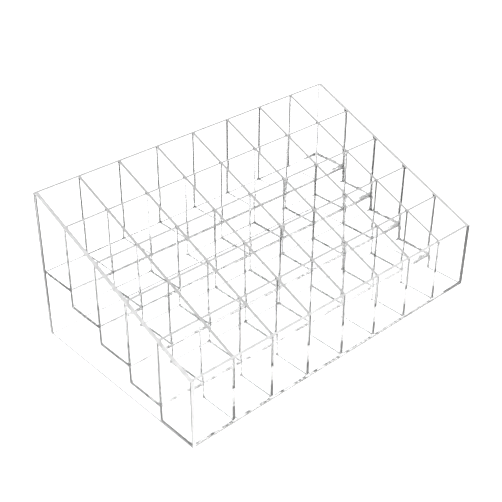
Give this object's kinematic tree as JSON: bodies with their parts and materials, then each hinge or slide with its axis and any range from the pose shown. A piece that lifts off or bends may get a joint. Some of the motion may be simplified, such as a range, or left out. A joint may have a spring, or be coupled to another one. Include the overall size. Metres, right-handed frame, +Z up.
{
  "type": "nail polish rack",
  "caption": "Stepped clear acrylic rack that holds nail polish bottles upright in a grid of open square cells, lowest at the front.",
  "frame": {"origin": "on the base plane, under the middle of the rack's footprint", "axes": "+X along the width, to the right seen from the front; -Y towards the low front; +Z up"},
  "size_m": [0.232, 0.137, 0.099],
  "materials": {
    "clear_shell": "clear cast acrylic sheet, 2.5 mm at the sides and 2 mm at the back and front, polished faces, satin cut edges",
    "clear_tread": "clear cast acrylic sheet 2 mm, polished faces",
    "clear_divider": "clear cast acrylic sheet 1.8 mm, polished faces, saw-cut edges lightly polished"
  },
  "bodies": {
    "root": {"side_panel_left": "clear_shell", "side_panel_right": "clear_shell", "back_panel": "clear_shell", "front_panel": "clear_shell", "tread_row_1": "clear_tread", "tread_row_2": "clear_tread", "tread_row_3": "clear_tread", "tread_row_4": "clear_tread", "tread_row_5": "clear_tread", "row_wall_1": "clear_divider", "row_wall_2": "clear_divider", "row_wall_3": "clear_divider", "row_wall_4": "clear_divider", "column_divider_1": "clear_divider", "column_divider_2": "clear_divider", "column_divider_3": "clear_divider", "column_divider_4": "clear_divider", "column_divider_5": "clear_divider", "column_divider_6": "clear_divider", "column_divider_7": "clear_divider"}
  },
  "joints": []
}
